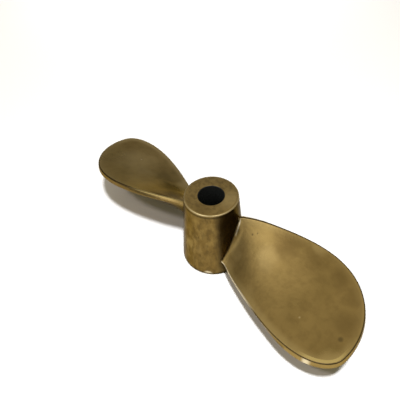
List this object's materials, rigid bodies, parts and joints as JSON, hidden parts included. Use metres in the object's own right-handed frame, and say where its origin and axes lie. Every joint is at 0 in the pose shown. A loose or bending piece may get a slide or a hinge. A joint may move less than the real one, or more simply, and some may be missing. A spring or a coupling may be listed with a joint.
{
  "type": "boat propeller",
  "caption": "Cast brass boat propeller: broad twisted blades set opposite each other on a tapered round hub with a plain shaft bore.",
  "frame": {"origin": "middle of the hub's wide end, which is the flat end it stands on, on the shaft axis", "axes": "+Z along the shaft axis from the hub's wide end to its narrow end, +X along the root of the first blade"},
  "size_m": [0.356, 0.0978, 0.085],
  "materials": {
    "aged_brass": "satin, aged and rubbed, uneven brown patina"
  },
  "bodies": {
    "root": {"propeller": "aged_brass"}
  },
  "joints": []
}
